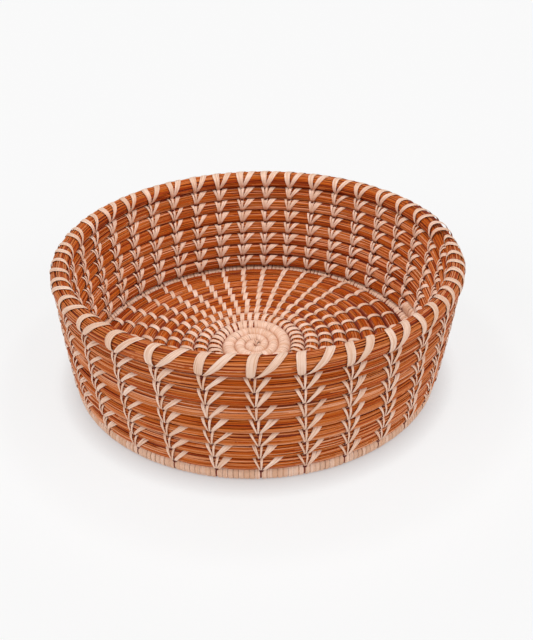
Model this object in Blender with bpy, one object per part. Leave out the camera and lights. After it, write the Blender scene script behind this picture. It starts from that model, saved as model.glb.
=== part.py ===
"""A coiled grass basket, sewn with a pale strip in a wheat stitch.

One bundle of dried grass is wound from the middle of the floor outwards, turns up at the corner
and climbs the wall, row on row, to a thicker rim. A pale palm strip wraps the first turns and the
corner, and sews every other row to the one before it. The rows are level: each steps across to
the next one in the same narrow seam, on the right of the basket.

Lengths are in metres, +Z is up, and the origin is on the ground under the middle of the rim.
"""
import math

import bmesh
import bpy
from mathutils import Vector

MM = 0.001

# Rows of the coil
START_ROWS = 3
WALL_ROWS = 7
POINTS_PER_TURN = 24
START_JOG_POINTS = 9
WALL_JOG_POINTS = 3

# Sizes of the coil
CORNER_RADIUS = 115.6 * MM
WALL_FLARE = 5.6 * MM
WALL_BOW_SHARE = 0.5
FLOOR_START_RADIUS = 28.05 * MM
WALL_PITCH = 9.36 * MM
START_COIL_RADIUS = 2.8 * MM
FLOOR_COIL_RADIUS = 4.6 * MM
FLOOR_RISE = 1.5 * MM
WALL_COIL_RADIUS = 4.43 * MM
RIM_COIL_RADIUS = 5.3 * MM
RIM_LEAN = 2.5 * MM
BASE_BACK = 2.0 * MM
TURN_GAP = 0.5 * MM
START_TURN_GAP = 1.1 * MM
FACE_GAP = 0.3 * MM
FLOOR_CLEARANCE = 0.3 * MM
STANDING_CUT_SHARE = 0.1

# The thin start of the bundle: how far each of its rows has grown to the floor's thickness,
# and the share of a turn at which its first row begins.
START_GROWTH_SHARES = (0.0, 0.06, 0.4, 1.0)
START_AT_SHARE = 10 / 24
WRAPPED_TO_SHARE = 7 / 24

# The tail of the rim coil, thinned over the seam: share of the room above the rising coil.
TAIL_POINTS = 3
TAIL_FILL_SHARE = 0.98

# Stitches
COLUMNS = 35
STITCH_THICKNESS = 0.6 * MM
STITCH_GAP = 0.35 * MM
SEAM_START = math.radians(-15)
SMOOTH_ANGLE = math.radians(50)
FIRST_COLUMN = math.radians(-145.3)
COLUMN_CROWDING = math.radians(8.1)
CROWDING_PHASE = math.radians(-48.9)

# A column of stitches is a chain of Vs: outside a thin leg left of each point and a broad leaf
# right of it, inside a fan. Two wraps carry it over the rim.
V_LEG_REACH = 3.2 * MM
V_LEAF_REACH = 6.2 * MM
FAN_LEFT = 4.4 * MM
FAN_RIGHT = 3.0 * MM
POINT_WIDTH = 2.0 * MM
NOTCH_RISE = 1.6 * MM
ROW_ROOM = 0.5 * MM
BEND_ROOM = 0.8 * MM
WRAP_WIDTH = 4.4 * MM
WRAP_APART = 0.5 * MM
WRAP_SPREAD = 9.0 * MM
WRAP_DROP = 4.9 * MM

# How far each wrap has moved along the rim, as a share of the spread, at the places across it.
WRAP_ROUTE_SHARES = ((0.0, 0.0, 0.2, 0.6, 1.0), (0.0, 0.45, 1.0, 1.0, 1.0))

GRASS = (0.62, 0.27, 0.10)
STRIP = (0.86, 0.66, 0.47)
HEX_FLAT = math.cos(math.pi / 6)
TILT_FLAT_UP = 0.0
TILT_FLAT_OUT = math.pi / 6


def clear_scene():
    """Start from an empty scene."""
    for thing in list(bpy.data.objects):
        bpy.data.objects.remove(thing, do_unlink=True)


def make_material(name, colour, roughness):
    """A plain Principled material."""
    material = bpy.data.materials.new(name)
    material.use_nodes = True
    shader = material.node_tree.nodes["Principled BSDF"]
    shader.inputs["Base Color"].default_value = (*colour, 1.0)
    shader.inputs["Roughness"].default_value = roughness
    return material


def mix(low, high, share):
    """The value a share of the way from low to high."""
    return low + (high - low) * share


def ease(share):
    """A share that starts and stops gently."""
    share = min(1.0, max(0.0, share))
    return share * share * (3 - 2 * share)


def azimuth_of(turn):
    """The azimuth of a place on the coil, counted in turns from the seam."""
    return SEAM_START + 2 * math.pi * turn


def jog(turn, points=WALL_JOG_POINTS):
    """How far a row has stepped from the row before it, at this place."""
    return ease((turn % 1.0) * POINTS_PER_TURN / points)


# The rows: radius, height and thickness of each once it has settled.
floor_height = FLOOR_COIL_RADIUS * HEX_FLAT + FLOOR_CLEARANCE
corner_cut = 2 * FLOOR_COIL_RADIUS * STANDING_CUT_SHARE
corner_height = FLOOR_COIL_RADIUS - corner_cut
wall_foot = WALL_COIL_RADIUS + FLOOR_CLEARANCE
first_wall_height = wall_foot + 2 * WALL_COIL_RADIUS + TURN_GAP
corner_lift = first_wall_height - corner_height
last_wall_height = first_wall_height + (WALL_ROWS - 1) * WALL_PITCH
rim_height = last_wall_height + WALL_COIL_RADIUS + TURN_GAP + RIM_COIL_RADIUS
rim_radius = CORNER_RADIUS + WALL_FLARE
floor_width = CORNER_RADIUS - FLOOR_START_RADIUS
floor_rows = int(floor_width / (2 * FLOOR_COIL_RADIUS + TURN_GAP))
floor_pitch = floor_width / floor_rows
corner_row = START_ROWS + floor_rows


def start_thickness(row):
    """Tube radius of a start row; the floor's own from the last of them on."""
    share = START_GROWTH_SHARES[min(row, START_ROWS)]
    return mix(START_COIL_RADIUS, FLOOR_COIL_RADIUS, share)


def floor_radius(row):
    """Settled centre radius of a row of the floor, counted from the very first."""
    if row >= START_ROWS:
        return CORNER_RADIUS - (corner_row - row) * floor_pitch
    radius = floor_radius(START_ROWS)
    for inner in range(START_ROWS - 1, row - 1, -1):
        radius -= start_thickness(inner) + start_thickness(inner + 1) + START_TURN_GAP
    return radius


def wall_share(height):
    """How far up the wall a height is, from the corner coil to the rim coil."""
    return (height - corner_height) / (rim_height - corner_height)


def place(radius, height, azimuth, base=0.0):
    """A point of the basket; the wall leans a little to one side, and the base stands back."""
    lean = RIM_LEAN * (wall_share(height) - 1)
    back = BASE_BACK * base
    return Vector((radius * math.cos(azimuth) + lean, radius * math.sin(azimuth) + back, height))


def flat_point(turn):
    """Centre and tube radius of the flat coil, from the start to the corner's settled row."""
    row = int(turn)
    outward = max(row - START_ROWS, 0) / floor_rows
    step = jog(turn, mix(START_JOG_POINTS, WALL_JOG_POINTS, outward))
    before = max(row - 1, 0)
    radius = mix(floor_radius(before), floor_radius(row), step)
    thickness = mix(start_thickness(before), start_thickness(row), step)
    height = floor_height + FLOOR_RISE * (1 - (radius / CORNER_RADIUS) ** 2)
    return place(radius, height, azimuth_of(turn), 1.0), thickness


def corner_point(turn):
    """Centre and tube radius of the corner coil; turn runs from 0 to 1."""
    step = jog(turn) if 0 <= turn < 1 else round(turn)
    radius = mix(CORNER_RADIUS - floor_pitch, CORNER_RADIUS, step)
    return place(radius, corner_height, azimuth_of(turn), 1.0), FLOOR_COIL_RADIUS


def row_height(row):
    """Settled height of a wall row, the corner coil being row 0 and the rim the last."""
    if row == 0:
        return corner_height
    if row > WALL_ROWS:
        return rim_height
    return first_wall_height + (row - 1) * WALL_PITCH


def wall_point(turn):
    """Centre and tube radius of the wall coil and the rim coil; turn 0 leaves the corner coil."""
    row = max(int(turn) + 1, 1)
    step = jog(turn) if turn > 0 else 0.0
    rise = math.sin(step * math.pi / 2)
    height = mix(row_height(row - 1), row_height(row), rise)
    share = wall_share(height)
    radius = CORNER_RADIUS + WALL_FLARE * (share + WALL_BOW_SHARE * share * (1 - share))
    base = 0.0
    if row == 1:
        base = 1 - rise
        apart = mix(floor_pitch, corner_lift, step)
        below = mix(CORNER_RADIUS - floor_pitch, CORNER_RADIUS, step)
        radius = max(radius, below + apart * math.cos(step * math.pi / 2))
        height = max(height, wall_foot)
    thickness = WALL_COIL_RADIUS
    if row > WALL_ROWS:
        thickness = mix(WALL_COIL_RADIUS, RIM_COIL_RADIUS, step)
    return place(radius, height, azimuth_of(turn), base), thickness


def tail_point(turn):
    """The rim coil's thinned end, level with the rim, over the coil that rises below it."""
    rising, thickness = wall_point(turn - 1)
    top = rim_height + RIM_COIL_RADIUS
    room = top - (rising.z + thickness + TURN_GAP)
    radius = min(RIM_COIL_RADIUS, TAIL_FILL_SHARE * room / 2)
    return place(rim_radius, top - radius, azimuth_of(turn)), radius


def places(where, first, last):
    """Points of a coil at whole places of its turns, from first to last."""
    return [where(number / POINTS_PER_TURN) for number in range(first, last + 1)]


def meeting_end(where, number, ahead):
    """An end half way from one place to the next, square to the coil that it meets there.

    The end stands back from the middle by half the face gap, towards the side that it is on.
    """
    low, radius = where(number / POINTS_PER_TURN)
    high = where((number + 1) / POINTS_PER_TURN)[0]
    back = (high - low).normalized() * (FACE_GAP / 2 if ahead else -FACE_GAP / 2)
    return low.lerp(high, 0.5) + back, radius


def least_gap(name, points):
    """Print the least clear distance of a coil to its own other turns, measured on its points."""
    least = None
    apart = POINTS_PER_TURN // 2
    for one in range(len(points)):
        for other in range(one + apart, len(points)):
            clear = (points[one][0] - points[other][0]).length - points[one][1] - points[other][1]
            least = clear if least is None else min(least, clear)
    print(f"{name}: {len(points)} points, least gap to itself {least / MM:.2f} mm")


def coil_curve(name, points, tilt, material):
    """One unbroken tube along the points, six-sided, with filled caps."""
    curve = bpy.data.curves.new(name, "CURVE")
    curve.dimensions = "3D"
    curve.twist_mode = "Z_UP"
    curve.bevel_depth = 1.0
    curve.bevel_resolution = 1
    curve.use_fill_caps = True
    spline = curve.splines.new("POLY")
    spline.points.add(len(points) - 1)
    for knot, (centre, radius) in zip(spline.points, points):
        knot.co = (*centre, 1.0)
        knot.radius = radius
        knot.tilt = tilt
    curve.materials.append(material)
    coil = bpy.data.objects.new(name, curve)
    bpy.context.collection.objects.link(coil)
    return coil


def cut_flat(coil, height):
    """Cut a coil level at a height, where the basket stands on it, and keep it closed."""
    mesh = bpy.data.meshes.new_from_object(coil)
    shape = bmesh.new()
    shape.from_mesh(mesh)
    bmesh.ops.remove_doubles(shape, verts=shape.verts, dist=FACE_GAP / 100)
    every = shape.verts[:] + shape.edges[:] + shape.faces[:]
    bmesh.ops.bisect_plane(
        shape, geom=every, plane_co=(0, 0, height), plane_no=(0, 0, -1), clear_outer=True)
    open_edges = [edge for edge in shape.edges if edge.is_boundary]
    bmesh.ops.contextual_create(shape, geom=open_edges)
    bmesh.ops.triangulate(shape, faces=shape.faces)
    bmesh.ops.recalc_face_normals(shape, faces=shape.faces)
    shape.to_mesh(mesh)
    shape.free()
    name = coil.name
    bpy.data.objects.remove(coil, do_unlink=True)
    mesh.shade_smooth()
    mesh.set_sharp_from_angle(angle=SMOOTH_ANGLE)
    solid = bpy.data.objects.new(name, mesh)
    bpy.context.collection.objects.link(solid)
    return solid


def column_turn(column):
    """Where a column of stitches stands outside, as a share of a turn from the seam."""
    even = 2 * math.pi * column / COLUMNS
    azimuth = FIRST_COLUMN + even + COLUMN_CROWDING * math.sin(even + CROWDING_PHASE)
    return ((azimuth - SEAM_START) / (2 * math.pi)) % 1.0


def in_seam(place_in_row):
    """Whether a place lies where the rows step across to the next."""
    return place_in_row * POINTS_PER_TURN < WALL_JOG_POINTS


def beside(points, turn, along, out, up):
    """A place beside a faceted coil: so far along it, outward of it and above its centre."""
    turn = max(turn + along / (2 * math.pi * CORNER_RADIUS), 0.0)
    place_number = turn * POINTS_PER_TURN
    index = min(int(place_number), len(points) - 2)
    centre = points[index][0].lerp(points[index + 1][0], place_number - index)
    azimuth = azimuth_of(turn)
    return centre + Vector((out * math.cos(azimuth), out * math.sin(azimuth), up))


class Strip:
    """A net of flat faces made into one closed solid, with a near and a far side."""

    def __init__(self):
        self.shape = bmesh.new()
        self.pairs = {}
        self.faces = []

    def corner(self, key, near, far):
        """Name a corner of the net, with its place on the near and on the far side."""
        self.pairs[key] = (self.shape.verts.new(near), self.shape.verts.new(far))
        return key

    def face(self, *keys):
        """Add a face of the net between named corners."""
        self.faces.append(keys)

    def close(self, name, material):
        """Cap both sides, wall the open edges, and make the object."""
        used = {}
        for keys in self.faces:
            for one, two in zip(keys, keys[1:] + keys[:1]):
                used.setdefault(frozenset((one, two)), []).append((one, two))
            self.shape.faces.new([self.pairs[key][0] for key in keys])
            self.shape.faces.new([self.pairs[key][1] for key in reversed(keys)])
        for sides in used.values():
            if len(sides) == 1:
                one, two = sides[0]
                self.shape.faces.new((self.pairs[two][0], self.pairs[one][0],
                                      self.pairs[one][1], self.pairs[two][1]))
        bmesh.ops.triangulate(self.shape, faces=self.shape.faces)
        bmesh.ops.recalc_face_normals(self.shape, faces=self.shape.faces)
        mesh = bpy.data.meshes.new(name)
        self.shape.to_mesh(mesh)
        self.shape.free()
        mesh.materials.append(material)
        stitches = bpy.data.objects.new(name, mesh)
        bpy.context.collection.objects.link(stitches)
        return stitches


def row_corner(strip, key, wall, place_in_row, row, side, along, up):
    """A corner of the net beside a wall row, outside (side 1) or inside (side -1)."""
    turn = row - 1 + place_in_row
    off = WALL_COIL_RADIUS * HEX_FLAT + STITCH_GAP
    if side > 0 or in_seam(place_in_row):
        off += BEND_ROOM
    near = beside(wall, turn, along, side * off, up)
    far = beside(wall, turn, along, side * (off + STITCH_THICKNESS), up)
    near.z = max(near.z, FLOOR_CLEARANCE)
    far.z = max(far.z, FLOOR_CLEARANCE)
    return strip.corner(key, near, far)


def stitch_side(strip, wall, place_in_row, side, reach):
    """The chain of Vs up one side of the wall; returns the names of its top corners."""
    top = WALL_COIL_RADIUS - ROW_ROOM / 2
    left, right = reach
    half = POINT_WIDTH / 2
    first = 2 if in_seam(place_in_row) and side < 0 else 1
    rise = NOTCH_RISE if first == 2 else -top
    below = [row_corner(strip, (side, first - 1, edge > 0), wall, place_in_row, 1, side,
                        edge, rise) for edge in (-half, half)]
    for row in range(first, WALL_ROWS + 1):
        notch = [row_corner(strip, (side, row, edge > 0), wall, place_in_row, row, side,
                            edge, NOTCH_RISE) for edge in (-half, half)]
        high_left = row_corner(strip, (side, row, "left"), wall, place_in_row, row, side,
                               -left, top)
        high_right = row_corner(strip, (side, row, "right"), wall, place_in_row, row, side,
                                right, top)
        strip.face(below[0], below[1], high_right, notch[1], notch[0], high_left)
        below = notch
    return below


def wrap_corner(strip, key, rim, place_in_row, station, along):
    """A corner of the net on the rim coil, at one of the places that wrap_stations names."""
    ends = []
    for lift in (STITCH_GAP, STITCH_GAP + STITCH_THICKNESS):
        out, up = wrap_stations(lift)[station]
        ends.append(beside(rim, place_in_row, along, out, up))
    return strip.corner(key, *ends)


def wrap_stations(lift):
    """Places across the rim coil, as (outward, up), at a distance off its flats."""
    flat = RIM_COIL_RADIUS * HEX_FLAT + lift
    corner = flat / HEX_FLAT
    outer = flat + BEND_ROOM
    return [(outer, -WRAP_DROP), (outer, corner / 2), (0.0, corner + BEND_ROOM / 2),
            (-flat, corner / 2), (-flat, -WRAP_DROP)]


def rim_wraps(strip, rim, place_in_row, outside, inside):
    """Two wraps over the rim, from the outside chain of Vs to the inside one."""
    half = WRAP_WIDTH / 2
    last = len(WRAP_ROUTE_SHARES[0]) - 1
    ends = {}
    for station, along in ((0, 0.0), (last, WRAP_SPREAD)):
        for edge in (-1, 0, 1):
            ends[station, edge] = wrap_corner(
                strip, ("end", station, edge), rim, place_in_row, station, along + edge * half)
    strip.face(outside[0], outside[1], ends[0, 1], ends[0, 0], ends[0, -1])
    strip.face(inside[1], inside[0], ends[last, -1], ends[last, 0], ends[last, 1])
    for wrap, route in enumerate(WRAP_ROUTE_SHARES):
        low = (ends[0, wrap - 1], ends[0, wrap])
        apart = (WRAP_WIDTH + WRAP_APART) / 2 * (1 if wrap else -1)
        for station in range(1, last):
            middle = route[station] * WRAP_SPREAD + apart
            high = [wrap_corner(strip, ("wrap", wrap, station, edge), rim, place_in_row, station,
                                middle + edge * half) for edge in (-1, 1)]
            strip.face(low[0], low[1], high[1], high[0])
            low = high
        strip.face(low[0], low[1], ends[last, wrap], ends[last, wrap - 1])


def stitch_column(column, wall, rim, material):
    """One column of stitches: up the outside of the wall, over the rim and down the inside."""
    strip = Strip()
    place_in_row = column_turn(column)
    shift = WRAP_SPREAD / (2 * math.pi * CORNER_RADIUS)
    outside = stitch_side(strip, wall, place_in_row, 1, (V_LEG_REACH, V_LEAF_REACH))
    inside = stitch_side(strip, wall, (place_in_row + shift) % 1.0, -1, (FAN_LEFT, FAN_RIGHT))
    rim_wraps(strip, rim, place_in_row, outside, inside)
    return strip.close(f"stitch_column_{column + 1:02d}", material)


def build():
    """Model the whole basket."""
    clear_scene()
    grass = make_material("dried grass", GRASS, 0.55)
    strip = make_material("palm strip", STRIP, 0.6)

    turn = POINTS_PER_TURN
    wrapped = round((START_ROWS + WRAPPED_TO_SHARE) * turn)
    floor_end = corner_row * turn - 1
    wall_end = WALL_ROWS * turn - 1
    start = places(flat_point, round(START_AT_SHARE * turn), wrapped)
    start.append(meeting_end(flat_point, wrapped, False))
    floor = [meeting_end(flat_point, wrapped, True)]
    floor += places(flat_point, wrapped + 1, floor_end)
    floor.append(meeting_end(flat_point, floor_end, False))
    corner = [meeting_end(corner_point, -1, True)]
    corner += places(corner_point, 0, turn - 1)
    corner.append(meeting_end(corner_point, turn - 1, False))
    wall = [meeting_end(wall_point, -1, True)]
    wall += places(wall_point, 0, wall_end)
    wall.append(meeting_end(wall_point, wall_end, False))
    rim = [meeting_end(wall_point, wall_end, True)]
    rim += places(wall_point, wall_end + 1, wall_end + turn)
    rim += [tail_point(WALL_ROWS + 1 + step / turn) for step in range(TAIL_POINTS)]

    for name, points in (("start_coil", start), ("floor_coil", floor), ("corner_coil", corner),
                         ("wall_coil", wall), ("rim_coil", rim)):
        least_gap(name, points)

    coil_curve("start_coil", start, TILT_FLAT_UP, strip)
    coil_curve("floor_coil", floor, TILT_FLAT_UP, grass)
    cut_flat(coil_curve("corner_coil", corner, TILT_FLAT_OUT, strip), 0.0)
    coil_curve("wall_coil", wall, TILT_FLAT_OUT, grass)
    coil_curve("rim_coil", rim, TILT_FLAT_OUT, grass)

    wall_places = places(wall_point, 0, wall_end + 1)
    level_rim = [(place(rim_radius, rim_height, azimuth_of(step / turn)), RIM_COIL_RADIUS)
                 for step in range(2 * turn)]
    for column in range(COLUMNS):
        stitch_column(column, wall_places, level_rim, strip)


build()
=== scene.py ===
# %% [markdown]
# # A coiled grass basket
#
# One long bundle of dried grass is wound into a flat floor and up into a wall, row on row. Pale
# strips of palm leaf sew each row to the one below it, in thirty-five columns of wheat stitch.
# The solid model gives the size and the place of the coil. This lesson dresses it: real stems on
# every bundle, every stitch as its own strip, and a soft white studio.

# %% Load the solid model
import math

import bpy
import numpy as np
from mathutils import Matrix, Vector


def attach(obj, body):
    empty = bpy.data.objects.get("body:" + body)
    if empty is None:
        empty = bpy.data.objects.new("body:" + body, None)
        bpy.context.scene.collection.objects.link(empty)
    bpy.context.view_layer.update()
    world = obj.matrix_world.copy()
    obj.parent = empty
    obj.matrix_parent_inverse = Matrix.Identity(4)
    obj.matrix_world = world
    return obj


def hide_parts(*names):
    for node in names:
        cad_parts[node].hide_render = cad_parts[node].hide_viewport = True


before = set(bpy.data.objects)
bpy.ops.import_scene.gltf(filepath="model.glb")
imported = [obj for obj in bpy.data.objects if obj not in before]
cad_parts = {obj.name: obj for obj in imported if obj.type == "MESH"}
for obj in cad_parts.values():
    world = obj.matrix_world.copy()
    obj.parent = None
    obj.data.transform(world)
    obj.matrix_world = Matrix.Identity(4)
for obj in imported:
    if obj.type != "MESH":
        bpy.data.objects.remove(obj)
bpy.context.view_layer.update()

# %% [markdown]
# ## The route of the coil
#
# Everything on this basket hangs on one curve: the middle of the grass bundle. It could be drawn
# as a true spiral, but the real rows are level, and each steps across to the next one in a narrow
# seam on the right. So the route is a table of settled rows, and a gentle step between them. A
# place on it is counted in turns from the seam: the whole number is the row, and the rest says
# how far round.

# %% Rows of the coil
MM = 0.001
START_ROWS, CORNER_ROW, RIM_ROW = 3, 12, 20
FLOOR_ROWS, WALL_ROWS = CORNER_ROW - START_ROWS, RIM_ROW - CORNER_ROW - 1
SEAM = math.radians(-15)
START_STEP, WALL_STEP = 9 / 24, 3 / 24
COIL_BEGINS, CURL_ENDS, STITCHES_BEGIN = 0.07, 10 / 24, 3 + 7 / 24
FIRST_FLOOR_RADIUS, CORNER_RADIUS, WALL_FLARE, WALL_BOW = 28.05, 115.6, 5.6, 0.5
RIM_RADIUS = CORNER_RADIUS + WALL_FLARE
FLOOR_HEIGHT, CORNER_HEIGHT, RIM_HEIGHT = 4.45, 4.3, 80.48
FIRST_WALL_HEIGHT, WALL_PITCH, FLOOR_PITCH, FLOOR_RISE = 13.95, 9.38, 9.728, 1.5
LEAN, BASE_BACK = 2.5, 2.0


def by_row(start, floor, corner, wall, rim):
    """A value for every row: three for the start, then one for each other kind of row."""
    return [*start, *[floor] * FLOOR_ROWS, corner, *[wall] * WALL_ROWS, rim, rim]


row_radius = [4.49, 11.3, 18.83]
row_radius += [FIRST_FLOOR_RADIUS + FLOOR_PITCH * row for row in range(FLOOR_ROWS)]
row_radius += [CORNER_RADIUS] * (RIM_ROW + 2 - CORNER_ROW)
row_height = [FLOOR_HEIGHT] * CORNER_ROW + [CORNER_HEIGHT]
row_height += [FIRST_WALL_HEIGHT + WALL_PITCH * row for row in range(WALL_ROWS)]
row_height += [RIM_HEIGHT] * 2
row_wide = by_row([3.3, 3.4, 4.1], 4.78, 4.62, 4.62, 5.5)
row_tall = by_row([3.5, 3.6, 3.9], 4.1, 4.45, 4.66, 5.5)
row_square = by_row([2.0, 2.0, 2.0], 2.4, 2.2, 2.9, 2.3)
row_table = np.array([row_radius, row_height, row_wide, row_tall, row_square])
print("rows of the coil:", row_table.shape[1])


# %% How the rows settle
ROLL_REACH, ROLL_HEIGHT = 9.7, 4.9


def ease(share):
    """A share that starts and stops gently."""
    share = np.clip(share, 0, 1)
    return share * share * (3 - 2 * share)


def settle(turn):
    """Radius, height, half width and height, squareness, share up the wall and of the base.

    In the seam the corner ring moves out from the floor, and the first row of the wall, which
    starts beside it, rolls up over it.
    """
    row = np.floor(turn).astype(int)
    outward = np.clip((row - START_ROWS) / FLOOR_ROWS, 0, 1)
    step = ease((turn - row) / (START_STEP + (WALL_STEP - START_STEP) * outward))
    before, after = row_table[:, np.maximum(row - 1, 0)], row_table[:, row]
    radius, height, wide, tall, square = before + (after - before) * step
    rise = np.sin(step * math.pi / 2)
    climb, first = row > CORNER_ROW, row == CORNER_ROW + 1
    dome = FLOOR_RISE * (1 - (radius / CORNER_RADIUS) ** 2)
    height = np.where(climb, before[1] + (after[1] - before[1]) * rise, height + dome)
    up_wall = np.clip((height - CORNER_HEIGHT) / (RIM_HEIGHT - CORNER_HEIGHT), 0, 1)
    flare = WALL_FLARE * (up_wall + WALL_BOW * up_wall * (1 - up_wall))
    radius = np.where(climb, radius + flare, radius)
    around = CORNER_RADIUS - FLOOR_PITCH * (1 - step) + ROLL_REACH * np.cos(step * math.pi / 2)
    radius = np.where(first, np.maximum(radius, around), radius)
    height = np.where(first, np.maximum(height, ROLL_HEIGHT), height)
    base = np.where(first, 1 - rise, np.where(climb, 0, 1))
    return np.array([radius, height, wide, tall, square, up_wall, base])


# %% [markdown]
# Two places don't settle: the very start, a thin curl that fills the middle of the floor, and the
# tail on the rim, which thins out over the last step. Both take the room that their neighbour
# leaves.


# %% Where the coil runs
CURL_THIN, CURL_THICK, CURL_TALL, TAIL_THIN = 0.5, 3.95, 3.5, 0.3
RIM_SPREAD = 1.05
SMALLEST_RADIUS = 2.0
FINE_STEP = 1 / 360


def coil_at(turn):
    """Middle of the bundle, half its width and height, its squareness and the way out."""
    turn = np.asarray(turn, float)
    radius, height, wide, tall, square, up_wall, base = settle(turn)
    curl, tail = turn < CURL_ENDS, turn > RIM_ROW + 1
    outer = settle(np.where(curl, turn + 1, turn))
    room = outer[0] - outer[2]
    half = np.clip(room / 2, CURL_THIN, CURL_THICK)
    radius = np.where(curl, room - half, radius)
    wide, tall = np.where(curl, half, wide), np.where(curl, np.minimum(half, CURL_TALL), tall)
    below = settle(np.where(tail, turn - 1, turn))
    room = (RIM_HEIGHT + row_tall[-1] - below[1] - below[3]) / 2
    room = np.clip(room, TAIL_THIN, row_tall[-1])
    height = np.where(tail, RIM_HEIGHT + row_tall[-1] - room, height)
    wide, tall = np.where(tail, room, wide), np.where(tail, room, tall)
    azimuth = SEAM + 2 * math.pi * turn
    out = np.stack([np.cos(azimuth), np.sin(azimuth), np.zeros_like(azimuth)], -1)
    middle = out * radius[..., None]
    middle[..., 0] += LEAN * (up_wall - 1)
    middle[..., 1] += BASE_BACK * base
    middle[..., 2] = height
    return middle * MM, wide * MM, tall * MM, square, out


def rim_at(turn):
    """The rim bundle together with the thin tail on top of it in the seam, for the wraps."""
    middle, wide, tall, square, out = coil_at(turn)
    top = (RIM_HEIGHT + row_tall[-1]) * MM
    bottom = middle[..., 2] - tall
    half = (top - bottom) / 2
    middle[..., 2] = bottom + half
    return middle, wide * np.clip(half / wide, 1, RIM_SPREAD), half, square, out


def on_bundle(turn, along, angle, lift, route=coil_at):
    """A place on a bundle: so far along it in millimetres, round it by an angle, and off it.

    The angle is 0 on the outer side, a quarter turn on top and half a turn on the inner side. A
    bundle pulled against its neighbours is a little squarer than round.
    """
    radius = np.maximum(settle(np.asarray(turn, float))[0], SMALLEST_RADIUS)
    middle, wide, tall, square, out = route(turn + along / (2 * math.pi * radius))
    up = np.array([0.0, 0.0, 1.0])
    fill = (np.abs(np.cos(angle)) ** square + np.abs(np.sin(angle)) ** square) ** (-1 / square)
    sideways = (wide + lift * MM) * np.cos(angle) * fill
    upwards = (tall + lift * MM) * np.sin(angle) * fill
    return middle + out * sideways[..., None] + up * upwards[..., None]


fine_turns = np.arange(COIL_BEGINS, RIM_ROW + 1 + WALL_STEP, FINE_STEP)
fine_steps = np.linalg.norm(np.diff(coil_at(fine_turns)[0], axis=0), axis=1) / MM
fine_lengths = np.concatenate([[0.0], np.cumsum(fine_steps)])
print(f"length of the grass bundle: {fine_lengths[-1] / 1000:.2f} m")

# %% [markdown]
# ## Stems and strips as sleeves
#
# A stem of grass and a strip of palm leaf are both long and thin. As curves with a bevel they
# would all have the same round section, and a strip has to lie flat on a bundle that bends two
# ways. So each is made as a sleeve: rings of a few points that are joined to a closed skin. Every
# point also keeps a note of how far along and across it is, and of its own shade, which the
# finish reads later.


# %% Collecting sleeves into one mesh
class Sleeves:
    """Closed sleeves, gathered into one piece of the basket."""

    def __init__(self):
        self.points, self.grain, self.faces, self.count = [], [], [], 0

    def add(self, rings, along, across, shade):
        """Add a sleeve from its rings of points, each point with its place on the leaf or stem."""
        stations, sides = rings.shape[:2]
        first = self.count + np.arange(stations * sides).reshape(stations, sides)
        here, there = first, np.roll(first, -1, axis=1)
        sheet = np.stack([here[:-1], there[:-1], there[1:], here[1:]], -1).reshape(-1, 4)
        self.faces.append(sheet)
        self.faces.append(first[0][::-1][None])
        self.faces.append(first[-1][None])
        self.points.append(rings.reshape(-1, 3))
        note = np.zeros((stations, sides, 3))
        note[..., 0], note[..., 1], note[..., 2] = along[:, None], across, shade
        self.grain.append(note.reshape(-1, 3))
        self.count += stations * sides

    def make(self, name, finish, slot, *nodes, crisp=None):
        """Make the piece, which stands for these nodes of the solid model."""
        mesh = bpy.data.meshes.new(name)
        sizes = np.concatenate([np.full(len(block), block.shape[1]) for block in self.faces])
        corners = np.concatenate([block.ravel() for block in self.faces])
        mesh.vertices.add(self.count)
        mesh.vertices.foreach_set("co", np.concatenate(self.points).ravel())
        mesh.loops.add(len(corners))
        mesh.loops.foreach_set("vertex_index", corners)
        mesh.polygons.add(len(sizes))
        mesh.polygons.foreach_set("loop_start", np.concatenate([[0], np.cumsum(sizes)[:-1]]))
        mesh.polygons.foreach_set("use_smooth", np.ones(len(sizes), bool))
        mesh.update(calc_edges=True)
        if crisp:
            mesh.set_sharp_from_angle(angle=math.radians(crisp))
        grain = mesh.attributes.new("grain", "FLOAT_VECTOR", "POINT")
        grain.data.foreach_set("vector", np.concatenate(self.grain).ravel())
        mesh.materials.append(finish)
        piece = bpy.data.objects.new(name, mesh)
        bpy.context.collection.objects.link(piece)
        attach(piece, "root")
        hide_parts(*nodes)
        print(f"{name}: {self.count} points, {int((sizes - 2).sum())} triangles")
        return piece


# %% [markdown]
# ## Finishes
#
# Dried grass is glossy where light rakes along a stem, and its colour changes from stem to stem:
# orange brown, now and then pinkish. Each stem is also painted darker on its two sides, as the
# shade that falls between stems. Palm leaf is matt cream with fine fibres along it. Both finishes
# read the note on each point, so the fibres follow every bend. The arithmetic of the shader is
# written as plain sums, with a small class that makes the nodes.


# %% Writing shader sums
class Socket:
    """An output of a node, which can be added, multiplied and subtracted as a number can."""

    def __init__(self, tree, link):
        self.tree, self.link = tree, link

    def math(self, operation, other):
        """A Math node of this output and another value."""
        return node(self.tree, "ShaderNodeMath", {"operation": operation}, {0: self, 1: other})

    def __add__(self, other):
        return self.math("ADD", other)

    def __mul__(self, other):
        return self.math("MULTIPLY", other)

    def __sub__(self, other):
        return self.math("SUBTRACT", other)

    def __rsub__(self, other):
        return node(self.tree, "ShaderNodeMath", {"operation": "SUBTRACT"}, {0: other, 1: self})

    __radd__ = __add__
    __rmul__ = __mul__


def node(tree, kind, settings=None, values=None, output=0):
    """Make a node, set it up, fill its sockets, and give one of its outputs."""
    made = tree.nodes.new(kind)
    for key, value in (settings or {}).items():
        if key == "stops":
            ramp = made.color_ramp
            for _ in range(len(value) - 2):
                ramp.elements.new(0.5)
            for element, (position, colour) in zip(ramp.elements, value):
                element.position = position
                element.color = (*colour, 1.0)
        else:
            setattr(made, key, value)
    for key, value in (values or {}).items():
        if isinstance(value, Socket):
            tree.links.new(value.link, made.inputs[key])
        else:
            made.inputs[key].default_value = value
    return Socket(tree, made.outputs[output])


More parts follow.
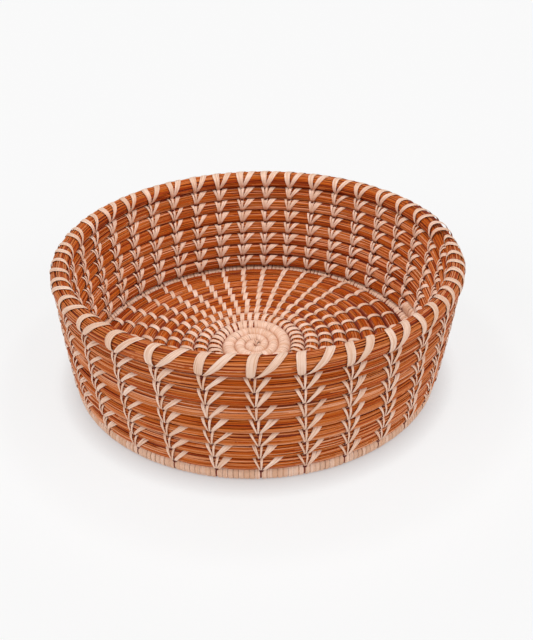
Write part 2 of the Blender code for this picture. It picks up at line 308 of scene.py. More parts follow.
def new_finish(name):
    """An empty finish with its Principled shader."""
    finish = bpy.data.materials.new(name)
    finish.use_nodes = True
    return finish, finish.node_tree, finish.node_tree.nodes["Principled BSDF"]


def blend(tree, share, low, high):
    """A colour between two others."""
    return node(tree, "ShaderNodeMix", {"data_type": "RGBA"},
                {0: share, 6: low, 7: high}, output=2)


def grain_noise(tree, stretch, scale, detail=3.0):
    """Noise on the note of each point, stretched along the fibres.

    The stretch says how fast it changes along and across, and from one stem or strip to the next.
    """
    note = node(tree, "ShaderNodeAttribute", {"attribute_name": "grain"}, output=1)
    place = node(tree, "ShaderNodeVectorMath", {"operation": "MULTIPLY"}, {0: note, 1: stretch})
    return node(tree, "ShaderNodeTexNoise", {}, {"Vector": place, "Scale": scale, "Detail": detail})


def note_part(tree, which):
    """How far along (0) or across (1) a point is, or its shade (2)."""
    note = node(tree, "ShaderNodeAttribute", {"attribute_name": "grain"}, output=1)
    return node(tree, "ShaderNodeSeparateXYZ", {}, {0: note}, output=which)


# %% Finish of the grass
def grass_finish():
    """Dried grass: each stem in its own shade, with streaks along it and painted shade on its
    sides.
    """
    finish, tree, shader = new_finish("dried grass")
    shade = note_part(tree, 2)
    streak = grain_noise(tree, (0.05, 3.6, 40.0), 1.0)
    patch = grain_noise(tree, (0.012, 0.0, 9.0), 1.0, 1.0)
    side = note_part(tree, 1)
    # Subtracting side paints shade on each stem's two sides, between the stems.
    mixed = shade * 0.64 + streak * 0.74 + patch * 0.26 - side * 0.20 - 0.20
    colour = node(tree, "ShaderNodeValToRGB", {"stops": [
        (0.04, (0.170, 0.014, 0.003)),
        (0.24, (0.390, 0.046, 0.002)),
        (0.46, (0.525, 0.108, 0.003)),
        (0.66, (0.620, 0.178, 0.040)),
        (0.82, (0.700, 0.285, 0.135)),
        (0.97, (0.820, 0.440, 0.280))]}, {0: mixed})
    tree.links.new(colour.link, shader.inputs["Base Color"])
    rough = streak * 0.25 + 0.34
    tree.links.new(rough.link, shader.inputs["Roughness"])
    bump = node(tree, "ShaderNodeBump", {}, {"Height": streak, "Strength": 0.5,
                                             "Distance": 0.0003})
    tree.links.new(bump.link, shader.inputs["Normal"])
    shader.inputs["Specular IOR Level"].default_value = 0.5
    shader.inputs["Specular Tint"].default_value = (1.0, 0.5, 0.3, 1.0)
    return finish


grass = grass_finish()


# %% Finish of the palm leaf
def palm_finish():
    """Split palm leaf: matt cream, fine fibres, warmer where it runs into the grass and in painted
    crevice shade beside the next rows.
    """
    finish, tree, shader = new_finish("palm leaf")
    shade = note_part(tree, 2)
    end = note_part(tree, 0)
    fibre = grain_noise(tree, (0.07, 1.5, 31.0), 1.0, 4.0)
    patch = grain_noise(tree, (0.12, 0.25, 17.0), 1.0, 1.0)
    lines = node(tree, "ShaderNodeValToRGB", {"stops": [
        (0.34, (0.0, 0.0, 0.0)), (0.56, (1.0, 1.0, 1.0))]}, {0: fibre})
    pale = blend(tree, patch, (0.82, 0.560, 0.430, 1), (0.92, 0.710, 0.590, 1))
    fibred = blend(tree, lines, (0.68, 0.385, 0.245, 1), pale)
    tinted = blend(tree, shade * 0.45, fibred, (0.66, 0.375, 0.230, 1))
    # Darker and warmer near a strip's hole; bands also use this to paint the shade in the crevices
    # beside the next rows.
    warm_foot_and_crevice_shade = node(tree, "ShaderNodeMapRange", {"interpolation_type": "SMOOTHSTEP"},
                {"Value": end, "From Min": 0.0, "From Max": 3.4, "To Min": 0.85, "To Max": 0.0})
    colour = blend(tree, warm_foot_and_crevice_shade, tinted, (0.50, 0.185, 0.055, 1))
    tree.links.new(colour.link, shader.inputs["Base Color"])
    shader.inputs["Roughness"].default_value = 0.55
    bump = node(tree, "ShaderNodeBump", {}, {"Height": fibre, "Strength": 0.5,
                                             "Distance": 0.0003})
    tree.links.new(bump.link, shader.inputs["Normal"])
    shader.inputs["Specular IOR Level"].default_value = 0.35
    return finish


palm = palm_finish()


# %% Finish of the inside of a bundle, painted dark as shade
def dark_finish(name, low, high):
    """Stems deep in a bundle, painted dark as the shade seen through the gaps and holes."""
    finish, tree, shader = new_finish(name)
    streak = grain_noise(tree, (0.06, 2.0, 5.0), 1.0)
    colour = blend(tree, streak, (*low, 1), (*high, 1))
    tree.links.new(colour.link, shader.inputs["Base Color"])
    shader.inputs["Roughness"].default_value = 0.8
    return finish


inner_grass_painted_shade = dark_finish("inner grass in painted shade", (0.150, 0.012, 0.002), (0.300, 0.040, 0.005))
hole_shade = dark_finish("hole", (0.080, 0.006, 0.003), (0.140, 0.014, 0.005))

# %% [markdown]
# ## The stitch columns
#
# The strip comes through the wall in columns. They aren't quite evenly spaced: the maker's hand
# crowds them on one side. Inside, each column stands about ten millimetres further round than
# outside, because the strip slants through the wall. Outside, a column drifts a little as it
# comes down.

# %% Where the columns stand
COLUMNS = 35
FIRST_COLUMN, CROWDING, CROWDED_AT = map(math.radians, (-145.3, 8.1, 48.9))
FRONT, FRONT_SHIFT = map(math.radians, (-98, 1.5))
INSIDE_SHIFT = math.radians(4.7)
LOW_SHIFT = 2.4 / 360
random = np.random.default_rng(7)


def column_azimuth(column):
    """The azimuth at which a column stands, before the strip slants through the wall."""
    even = 2 * math.pi * column / COLUMNS
    return FIRST_COLUMN + even + CROWDING * math.sin(even - CROWDED_AT)


def as_turn(azimuth):
    """An azimuth as a share of a turn from the seam."""
    return ((azimuth - SEAM) / (2 * math.pi)) % 1.0


azimuths = np.array([column_azimuth(column) for column in range(COLUMNS)])
front_shifts = FRONT_SHIFT * np.maximum(np.cos(azimuths - FRONT), 0) ** 2
outside_columns = as_turn(azimuths + front_shifts)
inside_columns = as_turn(azimuths + INSIDE_SHIFT)
print("columns of stitches:", len(outside_columns))


def drift(row):
    """How far a column has moved round outside, in turns, by the time it is at this row."""
    return LOW_SHIFT * np.clip((RIM_ROW - row) / WALL_ROWS, 0, 1)


# %% [markdown]
# ## The grass bundles
#
# A bundle is a few dozen stems, each running a hand's length or two before the next takes over.
# A smooth tube with painted lines looks like plastic rope from close by. Here every outer stem is
# real: a thin five-sided sleeve that wanders a little round the bundle, over a core painted dark as
# the shade deep in the bundle. Where a stitch holds the bundle it is pulled in. The core swells
# where it meets the next row, so that no light shows between them, and swells more on the floor,
# where rows step outwards.

# %% Laying the stems
HALF_BUNDLE = 4.6
PINCH_REACH, WALL_PINCH, FLOOR_PINCH = 3.0, 0.5, 0.3
STEM_STEP, STEM_SIDES, STEM_TIP, TIP_DIP = 5.5, 5, 9.0, 1.1
STEM_LENGTHS, STEM_HALVES, STEM_DEPTHS = (130, 420), (0.28, 0.66), (0.0, 0.42)
SHORTEST_STEM, STEM_OVERLAP = 15, 12
RAGGED_ENDS, LAST_ENDS = 26, 30
THIN_BUNDLE = 3.5


def pinch(turn, angle):
    """How far the stitches pull the bundle in, in millimetres, at each place on it."""
    share = np.mod(turn, 1.0)[..., None]
    wall = (turn > CORNER_ROW + 1)[..., None]
    outer = (outside_columns + drift(np.floor(turn))[..., None] - share + 0.5) % 1.0 - 0.5
    inner = (inside_columns - share + 0.5) % 1.0 - 0.5
    radius = settle(turn)[0][..., None]
    near = np.exp(-np.square(outer * 2 * math.pi * radius / PINCH_REACH)).max(-1)
    far = np.exp(-np.square(inner * 2 * math.pi * radius / PINCH_REACH)).max(-1)
    outward = (1 + np.cos(angle)) / 2
    on_wall = WALL_PINCH * (near * outward + far * (1 - outward))
    return np.where(wall[..., 0], on_wall, FLOOR_PINCH * far)


def add_stem(sleeves, first, last, angle, thick, depth, painted_light_shade):
    """Lay one stem on the bundle between two lengths along the coil."""
    along = np.linspace(first, last, max(int((last - first) / STEM_STEP), 3))
    turn = np.interp(along, fine_lengths, fine_turns)
    wander = sum(random.uniform(0.02, 0.09) * np.sin(along / random.uniform(14, 45)
                                                     + random.uniform(0, 6.3)) for _ in range(2))
    angles = angle + wander
    small = np.minimum(coil_at(turn)[1] / MM / THIN_BUNDLE, 1)
    tip = 1 - ease(np.minimum(along - first, last - along) / STEM_TIP)
    wave = 0.12 * np.sin(along / random.uniform(8, 20))
    sink = depth + TIP_DIP * tip + wave + pinch(turn, angles)
    around = np.arange(STEM_SIDES) * 2 * math.pi / STEM_SIDES
    half = (thick * small * (1 - 0.5 * tip))[:, None]
    lift = -(sink * small)[:, None] - thick * small[:, None] + half * np.cos(around)
    spread = angles[:, None] - half * np.sin(around) / HALF_BUNDLE
    rings = on_bundle(turn[:, None], 0.0, spread, lift)
    # The across note is the angle from the stem's crest; the finish paints shade where it is large.
    sleeves.add(rings, along, math.pi - np.abs(around - math.pi), random.uniform(0, 1) + painted_light_shade)


def lay_stems(sleeves, begin, end, lanes, inner_painted_light_shade, outer_painted_light_shade):
    """Cover a stretch of bundle, from one turn to another, with stems laid end to end."""
    first, last = np.interp([begin, end], fine_turns, fine_lengths)
    for lane in range(lanes):
        angle = 2 * math.pi * (lane + random.uniform(-0.3, 0.3)) / lanes
        outward = (1 + math.cos(angle)) / 2
        # Painted light and shade on the stem's tone, from the inner to the outer side of the
        # bundle.
        painted_light_shade = inner_painted_light_shade + (outer_painted_light_shade - inner_painted_light_shade) * outward
        ragged = RAGGED_ENDS * math.sin(2.4 * lane)
        stretch = [first + ragged, min(last + ragged, fine_lengths[-1] - LAST_ENDS - ragged)]
        here = stretch[0] - random.uniform(0, 200)
        while here < stretch[1]:
            length = random.uniform(*STEM_LENGTHS)
            start, stop = max(here, stretch[0]), min(here + length, stretch[1])
            if stop - start > SHORTEST_STEM:
                thick, depth = random.uniform(*STEM_HALVES), random.uniform(*STEM_DEPTHS)
                add_stem(sleeves, start, stop, angle, thick, depth, painted_light_shade)
            here += length - STEM_OVERLAP


# %% The core of a bundle
CORE_SIDES, CORE_INSET, CORE_CLEARS = 16, 1.05, 0.35
FLOOR_SWELL, WALL_SWELL = 0.75, 0.25


def add_core(sleeves, begin, end, inset, touching=()):
    """The core of a bundle, which swells at these angles to meet the rows beside it."""
    first, last = np.interp([begin, end], fine_turns, fine_lengths)
    along = np.linspace(first, last, int((last - first) / STEM_STEP) + 2)
    turn = np.interp(along, fine_lengths, fine_turns)
    angle = -np.arange(CORE_SIDES) * 2 * math.pi / CORE_SIDES
    lift = np.full(CORE_SIDES, -inset)
    swell = FLOOR_SWELL if end <= CORNER_ROW + 1 else WALL_SWELL
    for place in touching:
        lift += (inset + swell) * np.maximum(np.cos(angle - math.radians(place)), 0) ** 8
    rings = on_bundle(turn[:, None], 0.0, angle[None, :], lift + 0 * turn[:, None])
    rings[..., 2] = np.maximum(rings[..., 2], CORE_CLEARS * MM)
    sleeves.add(rings, along, angle * 4, 0.5)


# %% The floor, wall and rim bundles
FLOOR_LANES, WALL_LANES, RIM_LANES = 38, 40, 44
# Painted light and shade on the stems, inner side then outer side: the wall's stems are lighter,
# most outside as a painted sheen, and the rim's are darker, as painted shade against the light on
# its top.
WALL_PAINTED_LIGHT, RIM_PAINTED_SHADE = (0.04, 0.12), (-0.2, -0.1)


def make_bundle(name, begin, end, lanes, node_name, touching, painted_sides=(0.0, 0.0)):
    """One stretch of bundle: a core, and stems with painted light and shade on the inner and the
    outer side.
    """
    stems = Sleeves()
    lay_stems(stems, begin, end, lanes, *painted_sides)
    stems.make(name, grass, "dried_grass", node_name)
    core = Sleeves()
    add_core(core, begin, end, CORE_INSET, touching)
    core.make(name + "_core", inner_grass_painted_shade, "dried_grass", node_name)


half_way = START_ROWS + 5
for name, begin, end in (("floor_bundle_inner", STITCHES_BEGIN, half_way),
                         ("floor_bundle_outer", half_way, CORNER_ROW)):
    make_bundle(name, begin, end, FLOOR_LANES, "floor_coil", (0, 180))
for wall_row in range(1, WALL_ROWS + 1):
    row = CORNER_ROW + wall_row
    make_bundle(f"wall_bundle_{wall_row}", row, row + 1, WALL_LANES, "wall_coil", (90, 270),
                WALL_PAINTED_LIGHT)
make_bundle("rim_bundle", RIM_ROW, RIM_ROW + 1 + WALL_STEP, RIM_LANES, "rim_coil", (270,),
            RIM_PAINTED_SHADE)

# %% [markdown]
# ## The palm strips
#
# Each stitch is one stretch of strip on the curved side of a bundle. It is planned flat, as if
# the bundle's skin were unrolled: where its left and right edges are, station by station, from
# the hole that it comes out of to the groove that it goes into. The plan is then laid back on
# the bundle, so the strip hugs it. Its sections are level, so a broad leaf ends in a straight
# line along the groove, as if cut there.

# %% Laying a strip
EDGE = np.array([-1.0, -0.6, 0.6, 1.0, 0.6, -0.6])
EDGE_LIFT = np.array([0.06, 0.15, 0.15, 0.06, -0.10, -0.10])
HUMP = np.array([0.0, 0.7, 0.7, 0.0, 0.0, 0.0])
STRIP_CLEARS = 0.02


def strip_rings(turn, left, right, angle, lift, side=1, route=coil_at, hump=0.0):
    """Rings of a flat strip at stations on one row, from its left and right edges."""
    left, right, angle, lift = np.broadcast_arrays(
        *(np.asarray(value, float)[..., None] for value in (left, right, angle, lift)))
    flat = (left + right) / 2 + side * (right - left) / 2 * EDGE
    rings = on_bundle(turn, flat, angle + 0 * EDGE, lift + EDGE_LIFT + hump * HUMP, route)
    rings[..., 2] = np.maximum(rings[..., 2], STRIP_CLEARS * MM)
    return rings


def add_strip(sleeves, parts, lead=0.0, shade=None):
    """Join stretches of strip to one sleeve, and note how far along and across each point is.

    The lead is how far from its hole the strip begins, or a list of that for every station.
    """
    rings = np.concatenate(parts)
    middle = rings.mean(axis=1)
    steps = np.linalg.norm(np.diff(middle, axis=0), axis=1) / MM
    length = lead if np.ndim(lead) else lead + np.concatenate([[0.0], np.cumsum(steps)])
    half = np.linalg.norm(rings[:, 3] - rings[:, 0], axis=1) / MM / 2
    shade = random.uniform(0, 1) if shade is None else shade
    sleeves.add(rings, length, half[:, None] * EDGE, shade)


def jitter(size):
    """A small random amount, the same on every run."""
    return random.uniform(-size, size)


# %% [markdown]
# A strip comes out of a hole at the top of the row below. The hole shows just under the groove,
# so its place depends on how the two rows stand to each other: the row above hides what is behind
# the line that touches it.

# %% The hole and the legs of a stitch
SIGHT = math.radians(32.5)
LOW, HIGH = math.radians(-52), math.radians(88)
HOLE_DROP = math.radians(11)
GROOVE = math.radians(48)
LEG_STATIONS, LEG_TUCK = 8, 0.7
TOE_TURN, TOE_LIFT = np.array([0.0, 0.13]), np.array([-0.5, 0.1])
HOLE_SIDES = 8


def hole_angle(low, high, side):
    """Angle on the lower row just under the place where the upper row begins to hide it."""
    below, wide, tall, square, out = coil_at(low)
    above, broad, deep, *_ = coil_at(high)
    apart = (above - below) / MM
    swell = 0.5 + (square - 2) * 0.05
    thin, thick = (wide + tall) * swell / MM, (broad + deep) * swell / MM
    across = side * float(apart @ out) + thick * math.sin(SIGHT)
    up = float(apart[2]) - thick * math.cos(SIGHT)
    along = across * math.cos(SIGHT) + up * math.sin(SIGHT)
    reach = along - math.sqrt(max(along ** 2 - across ** 2 - up ** 2 + thin ** 2, 0.0))
    angle = math.atan2(up - reach * math.sin(SIGHT), across - reach * math.cos(SIGHT))
    return angle - HOLE_DROP


def facing(angle, side):
    """An angle as it is outside (side 1), or the same one mirrored to the inside (side -1)."""
    return angle if side > 0 else math.pi - angle


def leg(sleeves, turn, side, hole, foot, head, lead=0.0, bulge=0.0, lift=0.08):
    """A leg of a stitch: out of its hole, up over its row and into the groove above."""
    place = np.linspace(0, 1, LEG_STATIONS)
    angle = LOW + (HIGH - LOW) * place
    seen = np.sin(np.array([*angle, GROOVE]) - SIGHT) - math.sin(LOW - SIGHT)
    reach, bow = seen[:-1] / seen[-1], np.sin(place * math.pi)
    sway = jitter(0.2)
    left = foot[0] + (head[0] - foot[0]) * reach + (sway - bulge) * bow
    right = foot[1] + (head[1] - foot[1]) * reach + (sway + bulge) * bow
    rise = np.append(np.full(LEG_STATIONS - 1, lift), -LEG_TUCK)
    toe = strip_rings(turn - 1, [foot[0]] * 2, [foot[1]] * 2, facing(hole + TOE_TURN, side),
                      TOE_LIFT, side)
    upper = strip_rings(turn, left, right, facing(angle, side), rise, side)
    add_strip(sleeves, (toe, upper), lead)


def add_hole(sleeves, turn, along, angle, size=1.0, rise=0.0):
    """The hole that a strip goes into: a dark disc, painted as the shade inside it."""
    across = -np.arange(HOLE_SIDES) * 2 * math.pi / HOLE_SIDES
    long, tall = size * random.uniform(0.75, 1.05), size * random.uniform(0.6, 0.8)
    rings = [on_bundle(turn, along + share * long * np.cos(across),
                       angle + share * tall * np.sin(across) / HALF_BUNDLE,
                       np.full(HOLE_SIDES, lift))
             for share, lift in ((1.0, -0.4), (1.0, 0.06 + rise), (0.5, 0.14 + rise))]
    sleeves.add(np.array(rings), np.zeros(3), across, 0.0)


# %% The two faces of a stitch
SLIM_LEAF, SLIM_FAN, SLIM_WRAP = 0.2, 0.3, 0.25
SPLIT_LEAVES = 0.25
FAN_LEAD = -1.5


def ends(middle, width):
    """The left and right edge of the head of a leg."""
    return middle - width / 2, middle + width / 2


def slim(turn, share):
    """The width of a strip as a share of its width in front: less at the basket's two sides."""
    return 1 - share * abs(math.cos(SEAM + 2 * math.pi * turn))


def outside_stitch(sleeves, turn, hole):
    """On the outside of a row: a thin left leg, a middle leg and a broad leaf to the right.

    Here and there the leaf has split in two.
    """
    leg(sleeves, turn, 1, hole, (-1.0, -0.3), ends(-3.2 + jitter(0.8), 1.7 + jitter(0.3)))
    leg(sleeves, turn, 1, hole, (-0.4, 0.3), ends(0.5 + jitter(0.5), 1.4 + jitter(0.2)), lift=0.04)
    reach, broad = 7.3 + jitter(1.7), (3.3 + jitter(0.9)) * slim(turn, SLIM_LEAF)
    if random.uniform() < SPLIT_LEAVES:
        apart, narrow = broad * 0.35, broad * 0.6
        leg(sleeves, turn, 1, hole, (0.5, 1.2), ends(reach - apart, narrow))
        leg(sleeves, turn, 1, hole, (1.0, 1.7), ends(reach + apart, narrow), 0, 0.2, 0.04)
    else:
        leg(sleeves, turn, 1, hole, (0.5, 1.7), ends(reach, broad), bulge=0.45)


def inside_stitch(sleeves, turn, hole):
    """On the inside of a row: a fan of three legs that meet in a point below."""
    thin, middle, broad = np.array([1.9, 2.3, 4.2 + jitter(1.0)]) * slim(turn, SLIM_FAN)
    right = ends(2.2 + jitter(0.6), thin + jitter(0.3))
    leg(sleeves, turn, -1, hole, (0.2, 1.3), right, FAN_LEAD)
    centre = ends(-0.4 + jitter(0.5), middle + jitter(0.4))
    leg(sleeves, turn, -1, hole, (-0.6, 0.5), centre, FAN_LEAD, lift=0.12)
    left = ends(-5.8 + jitter(1.2), broad)
    leg(sleeves, turn, -1, hole, (-1.5, -0.3), left, FAN_LEAD, 0.35)


# %% [markdown]
# Over the rim the strip makes two broad wraps. Both start at the same hole outside and end at the
# same hole inside, but one crosses the rim almost straight and the other leans far over. Their
# middle lines are given at a few places from the one hole to the other, as they run in front and
# at the back of the basket, and are mixed for the columns between.

# %% Wraps over the rim
WRAP_PLACES = [0, 0.1, 0.25, 0.5, 0.65, 0.8, 1]
WRAP_FRONT = ([-1.2, -1.4, -1.5, -0.6, 1.5, 5.5, 9.3], [0.7, 3.4, 8.0, 14.0, 15.4, 13.6, 10.5])
WRAP_BACK = ([-1.0, -0.9, -0.4, 1.6, 3.8, 6.6, 9.3], [0.5, 2.5, 6.6, 11.0, 11.2, 10.8, 10.5])
WRAP_WIDTHS = ([2.6, 4.2, 4.8, 5.3, 4.9, 3.9, 2.0], [1.4, 3.2, 5.4, 5.6, 5.0, 3.9, 2.0])
WRAP_STATIONS, WRAP_HUMP = 21, 0.06
WRAP_TOE = np.array([0.45, 0.6])


def rim_wraps(sleeves, holes, turn, route):
    """Two wraps over the rim, from the hole outside to the hole inside."""
    place = np.linspace(0, 1, WRAP_STATIONS)
    angle = LOW + (math.pi - 2 * LOW) * place
    shift = INSIDE_SHIFT * RIM_RADIUS
    outer_hole = hole_angle(turn - 1, turn, 1)
    inner = turn + shift / (2 * math.pi * RIM_RADIUS)
    inner_hole = math.pi - hole_angle(inner - 1, inner, -1)
    back = (1 + math.sin(SEAM + 2 * math.pi * turn)) / 2
    for side, (near, far, widths) in enumerate(zip(WRAP_FRONT, WRAP_BACK, WRAP_WIDTHS)):
        lean = jitter(1.0) * np.sin(place * math.pi)
        line = np.array(near) * (1 - back) + np.array(far) * back
        middle = np.interp(place, WRAP_PLACES, line)
        smooth = np.convolve(np.pad(middle, 2, mode="edge"), np.ones(5) / 5, mode="valid")
        middle[2:-2] = smooth[2:-2]
        middle += lean
        broad = random.uniform(0.92, 1.06) * slim(turn, SLIM_WRAP)
        width = np.interp(place, WRAP_PLACES, widths) * broad
        foot = strip_rings(turn - 1, middle[0] - WRAP_TOE, middle[0] + WRAP_TOE,
                           outer_hole + TOE_TURN, TOE_LIFT)
        over = strip_rings(turn, middle - width / 2, middle + width / 2, angle,
                           0.04 + 0.10 * side, route=route, hump=WRAP_HUMP)
        end = strip_rings(turn - 1, middle[-1] - WRAP_TOE[::-1], middle[-1] + WRAP_TOE[::-1],
                          inner_hole - TOE_TURN[::-1], TOE_LIFT[::-1])
        add_strip(sleeves, (foot, over, end))
    add_hole(holes, turn - 1, 0.0, outer_hole)
    add_hole(holes, turn - 1, shift, inner_hole)


# %% [markdown]
# A column is made from the corner ring upwards, outside and then inside, and ends in its wraps.
# The few columns at the start of the seam meet rows that haven't risen yet, so they have no
# stitch on the first row, and one more under the rim. Each hole is a dark disc, painted as the
# shade inside it. The holes are larger inside and on the ring, where the photograph shows them
# dark, and stand a little proud of the stems there.

# %% One column of stitches
SEAM_EDGE = 0.045
RING_HOLE_DROP = 0.12
# Size and rise of the painted-shade hole discs, outside, inside and on the ring.
HOLES = {"outside": (1.0, 0.0), "inside": (1.3, 0.22), "ring": (1.3, 0.40)}
holes = Sleeves()


def stitch_column(column):
    """One whole column: up the outside, over the rim and down the inside."""
    strips = Sleeves()
    outside, inside = outside_columns[column], inside_columns[column]
    early = outside < SEAM_EDGE
    for side, place in ((1, outside), (-1, inside)):
        for row in range(CORNER_ROW + 1, RIM_ROW + 1):
            turn = row + place + (drift(row) if side > 0 else 0)
            if turn % 1.0 < SEAM_EDGE and row == CORNER_ROW + 1:
                continue
            if place >= SEAM_EDGE and row == RIM_ROW:
                continue
            hole = hole_angle(turn - 1, turn, side)
            (outside_stitch if side > 0 else inside_stitch)(strips, turn, hole)
            on_ring = row == CORNER_ROW + 1
            size, rise = HOLES["ring" if on_ring else "outside" if side > 0 else "inside"]
            angle = facing(hole - RING_HOLE_DROP * on_ring, side)
            add_hole(holes, turn - 1, 0.3 if side > 0 else -0.2, angle, size, rise)
    rim_wraps(strips, holes, RIM_ROW + outside + early, coil_at if early else rim_at)
    strips.make(f"palm_column_{column + 1:02d}", palm, "palm_strip",
                f"stitch_column_{column + 1:02d}", crisp=40)


for column in range(COLUMNS):
    stitch_column(column)
holes.make("stitch_holes", hole_shade, "dried_grass", "wall_coil")

# %% [markdown]
# ## Stitches and wraps of the floor
#
# On the floor each stitch is a single band over the bundle. The start of the coil and the corner
# ring are wrapped all over, so that no grass shows: band beside band, each pulled round tight.


# %% Bands round a bundle
BAND_STATIONS, BAND_TUCK = 17, 0.2
BAND_JOIN = math.radians(200)
PALE = 4.0


def band(sleeves, turn, along, slant, width, lift=0.08, hump=0.0, shade=None, beside=PALE):
    """A band once round a bundle, further along it by the slant on its inner side.

    Beside the next rows it is noted as being only so far from a hole, which makes it warmer:
    painted shade in the crevice between rows.
    """
    angle = BAND_JOIN - 2 * math.pi * np.linspace(0, 1, BAND_STATIONS)
    shift = along + slant * (1 - np.cos(angle)) / 2
    lifts = np.full(BAND_STATIONS, lift)
    lifts[[0, -1]] -= BAND_TUCK
    rings = strip_rings(turn, shift - width / 2, shift + width / 2, angle, lifts, -1, hump=hump)
    add_strip(sleeves, (rings,), beside + (PALE - beside) * np.abs(np.sin(angle)), shade)


# %% [markdown]
# The lines of floor stitches run on from the columns inside the wall, and swirl a little, by about
# two degrees, on the way to the middle.

# %% The floor's stitches
SWIRL_START, SWIRL = -0.6, 2.6
floor_bands = Sleeves()
for column in range(COLUMNS):
    for row in range(START_ROWS, CORNER_ROW):
        turn = row + inside_columns[column]
        if turn > STITCHES_BEGIN + 0.01:
            swirl = (SWIRL_START + SWIRL * (CORNER_RADIUS - row_radius[row]) / 90) / 360
            band(floor_bands, turn + swirl, -1.5 + jitter(0.4), 3.0 + jitter(0.5),
                 3.2 + jitter(0.5), beside=1.6)
floor_bands.make("floor_stitches", palm, "palm_strip", "floor_coil", crisp=40)

# %% The wrapped start
START_WIDTHS, START_INSET = (2.3, 3.3), 0.3
start_bands, start_core = Sleeves(), Sleeves()
here, last = np.interp([COIL_BEGINS, STITCHES_BEGIN], fine_turns, fine_lengths)
while here < last:
    width = random.uniform(*START_WIDTHS)
    turn = float(np.interp(here + width / 2, fine_lengths, fine_turns))
    band(start_bands, turn, 0.0, jitter(0.5), width * 1.02, random.uniform(-0.06, 0.04), 0.4,
         beside=0.2)
    here += width
start_bands.make("start_wraps", palm, "palm_strip", "start_coil", crisp=40)
add_core(start_core, COIL_BEGINS, STITCHES_BEGIN, START_INSET)
start_core.make("start_core", inner_grass_painted_shade, "palm_strip", "start_coil")

# %% [markdown]
# Under each column the ring shows a narrow gap, where the column's lowest hole is. Between two
# gaps the bands share out the room evenly. They run on for a tenth of a turn past the seam, onto
# the start of the wall's first row.

# %% The wrapped corner ring
RING_GAP, RING_BAND, RING_INSET = 0.7, 2.8, 0.12
RING_WRAPS_END = CORNER_ROW + 1.1
corner_bands, corner_core = Sleeves(), Sleeves()
low_columns = np.sort((outside_columns + drift(CORNER_ROW + 1)) % 1.0)
low_columns = [low_columns[-1] - 1.0, *low_columns, *(low_columns[:4] + 1.0)]
around = 2 * math.pi * CORNER_RADIUS
for left, right in zip(low_columns, low_columns[1:]):
    reach = (right - left) * around
    count = round((reach - RING_GAP) / RING_BAND)
    width = (reach - RING_GAP) / count
    for number in range(count):
        turn = CORNER_ROW + left + (RING_GAP / 2 + width * (number + 0.5)) / around
        if CORNER_ROW < turn < RING_WRAPS_END:
            band(corner_bands, turn, 0.0, 1.0 + jitter(0.4), width * random.uniform(0.9, 1.02),
                 random.uniform(-0.04, 0.10), 0.3, random.uniform(0.3, 2.0))
corner_bands.make("corner_wraps", palm, "palm_strip", "corner_coil", crisp=40)
add_core(corner_core, CORNER_ROW, CORNER_ROW + 1, RING_INSET, (180,))
corner_core.make("corner_core", inner_grass_painted_shade, "palm_strip", "corner_coil")

# %% [markdown]
# ## The studio
#
# The photograph has a white ground that runs out of the picture on every side, and soft light
# from all round. A wide plane stands for the table. What the camera sees of it is three quarters
# a white light of its own and one quarter a lit surface, so it stays white without more light on
# the basket, and the soft shadow round the foot still shows. Its own light is dimmed close to the
# basket by a painted contact shadow, where a shadow is deepest.


# %% Ground
CAMERA_RAY, GLOSSY_RAY, TRANSMISSION_RAY = 0, 3, 6
OWN_LIGHT, WHITE_STRENGTH, SHADE_REACH = 0.75, 0.99, 0.016
bpy.ops.object.select_all(action="DESELECT")
bpy.ops.mesh.primitive_plane_add(size=12.0, location=(0.0, 0.0, 0.0))
ground = bpy.context.object
ground.name = "ground"
ground_finish, ground_tree, ground_shader = new_finish("white table")
ground_shader.inputs["Base Color"].default_value = (0.93, 0.93, 0.93, 1.0)
ground_shader.inputs["Roughness"].default_value = 0.9
seen = sum(node(ground_tree, "ShaderNodeLightPath", {}, {}, ray)
           for ray in (CAMERA_RAY, GLOSSY_RAY, TRANSMISSION_RAY))
# Ambient occlusion dims the ground's own light near the basket: a painted contact shadow.
near = node(ground_tree, "ShaderNodeAmbientOcclusion", {}, {"Distance": SHADE_REACH}, 1)
white = blend(ground_tree, near, (0.40, 0.35, 0.35, 1), (1.0, 1.0, 1.0, 1))
glow = node(ground_tree, "ShaderNodeEmission", {}, {"Color": white, "Strength": WHITE_STRENGTH})
cover = node(ground_tree, "ShaderNodeMixShader", {}, {0: seen * OWN_LIGHT, 2: glow})
ground_tree.links.new(ground_shader.outputs[0], cover.link.node.inputs[1])
ground_tree.links.new(cover.link, ground_tree.nodes["Material Output"].inputs["Surface"])
ground.data.materials.append(ground_finish)

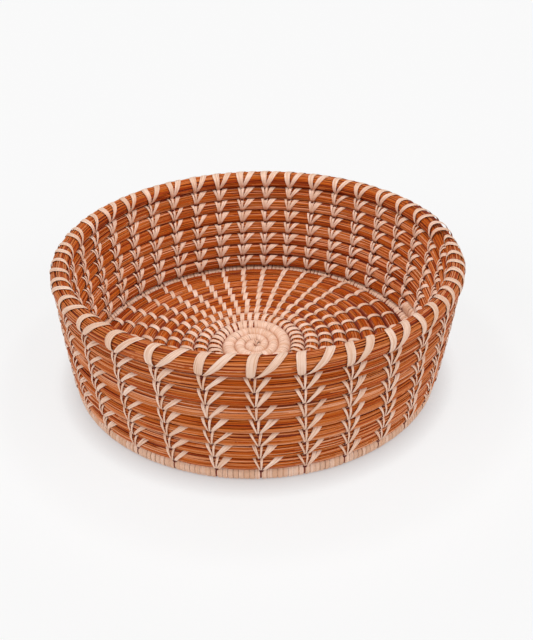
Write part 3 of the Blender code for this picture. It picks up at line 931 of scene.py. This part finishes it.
# %% [markdown]
# The sky lights the basket evenly. Two broad suns from the front left and front right shape the
# rows, and a soft spot straight above reaches only into the bowl, because the photograph's inside
# is as bright as its outside.

# %% Light
SKY, SUN, SUN_BREADTH = 0.555, 1.02, math.radians(50)
SUN_TILT, SUN_TURN = math.radians(58), math.radians(62)
BOWL_LIGHT, BOWL_LIGHT_HEIGHT, MOUTH, OVER_RIM = 1.2, 0.25, 0.117, 0.168
world = bpy.data.worlds.new("studio")
world.use_nodes = True
bpy.context.scene.world = world
sky = world.node_tree.nodes["Background"]
sky.inputs["Color"].default_value = (1.0, 1.0, 1.0, 1.0)
sky.inputs["Strength"].default_value = SKY

for side, name in ((-1, "left softbox"), (1, "right softbox")):
    bpy.ops.object.light_add(type="SUN", rotation=(SUN_TILT, 0.0, side * SUN_TURN))
    lamp = bpy.context.object
    lamp.name = name
    lamp.data.energy = SUN
    lamp.data.angle = SUN_BREADTH

bpy.ops.object.light_add(type="SPOT", location=(0.0, 0.0, BOWL_LIGHT_HEIGHT))
spot = bpy.context.object
spot.name = "light into the bowl"
spot.data.energy = BOWL_LIGHT
spot.data.spot_size = 2 * math.atan(MOUTH / OVER_RIM)
spot.data.spot_blend = 0.15
spot.data.shadow_soft_size = 0.05
bpy.context.scene.view_settings.view_transform = "Standard"

# %% [markdown]
# The camera was fitted to the photograph together with the sizes of the basket, so its focal
# length is written in pixels of a picture 640 pixels high.

# %% Camera
FOCAL_PIXELS, PHOTO_HEIGHT, SENSOR_HEIGHT = 745.02, 640, 36.0
eye = Vector((-2.35, -416.752, 295.727)) * MM
forward = Vector((0.014484, 0.842843, -0.537964))
upward = Vector((0.025967, 0.537522, 0.842850))
right = forward.cross(upward)
turned = Matrix((right, right.cross(forward), -forward)).transposed().to_euler()
bpy.ops.object.camera_add(location=eye, rotation=turned)
camera = bpy.context.object
camera.name = "camera"
camera.data.sensor_fit = "VERTICAL"
camera.data.sensor_height = SENSOR_HEIGHT
camera.data.lens = FOCAL_PIXELS / PHOTO_HEIGHT * SENSOR_HEIGHT
bpy.context.scene.camera = camera
